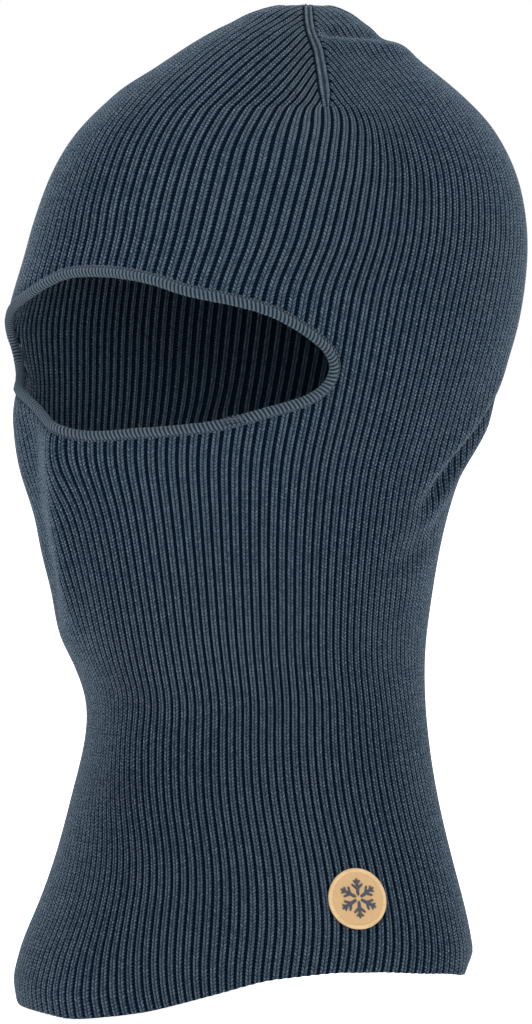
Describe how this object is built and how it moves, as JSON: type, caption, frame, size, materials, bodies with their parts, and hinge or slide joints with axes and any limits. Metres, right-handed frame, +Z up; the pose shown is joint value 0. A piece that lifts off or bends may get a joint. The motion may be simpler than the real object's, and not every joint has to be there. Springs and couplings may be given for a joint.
{
  "type": "balaclava",
  "caption": "Dark ribbed knit balaclava with a wide bound face opening, darted crown, flared neck, a small embroidered patch and an inside care label.",
  "frame": {"origin": "middle of the footprint, at the lowest point of the hem", "axes": "+Z up to the crown, the face opening looks along -Y, the wearer's left is +X"},
  "size_m": [0.1784, 0.213, 0.3738],
  "materials": {
    "rib_knit": "matte wool and acrylic rib knit, dark slate navy, soft fuzz",
    "linking_yarn": "matte plied yarn in the knit's colour",
    "binding_knit": "matte rolled knit with fine overcast stitches",
    "tan_embroidery": "tan embroidery fill with a soft satin sheen",
    "pale_satin_cord": "pale tan satin-stitched cord",
    "navy_embroidery": "dark navy embroidery thread",
    "stabiliser_felt": "grey cut-away stabiliser felt",
    "label_ribbon": "white woven polyester ribbon, blank"
  },
  "bodies": {
    "hood": {"back_seam": "linking_yarn", "crown_closure": "linking_yarn", "crown_seam_back_left": "linking_yarn", "crown_seam_back_right": "linking_yarn", "crown_seam_front_left": "linking_yarn", "crown_seam_front_right": "linking_yarn", "emblem_backing": "stabiliser_felt", "emblem_border": "pale_satin_cord", "emblem_ground": "tan_embroidery", "emblem_motif": "navy_embroidery", "face_binding": "binding_knit", "face_binding_join": "binding_knit", "face_binding_seam": "linking_yarn", "knit_body": "rib_knit", "label_stitching": "linking_yarn"},
    "label": {"care_label": "label_ribbon", "size_tab": "label_ribbon"}
  },
  "joints": [
    {"name": "care_label_flip", "type": "hinge", "parent": "hood", "child": "label", "pos_m": [0, 0.0514, 0.052], "axis": [-1, 0, 0], "range_deg": [0, 120]}
  ]
}
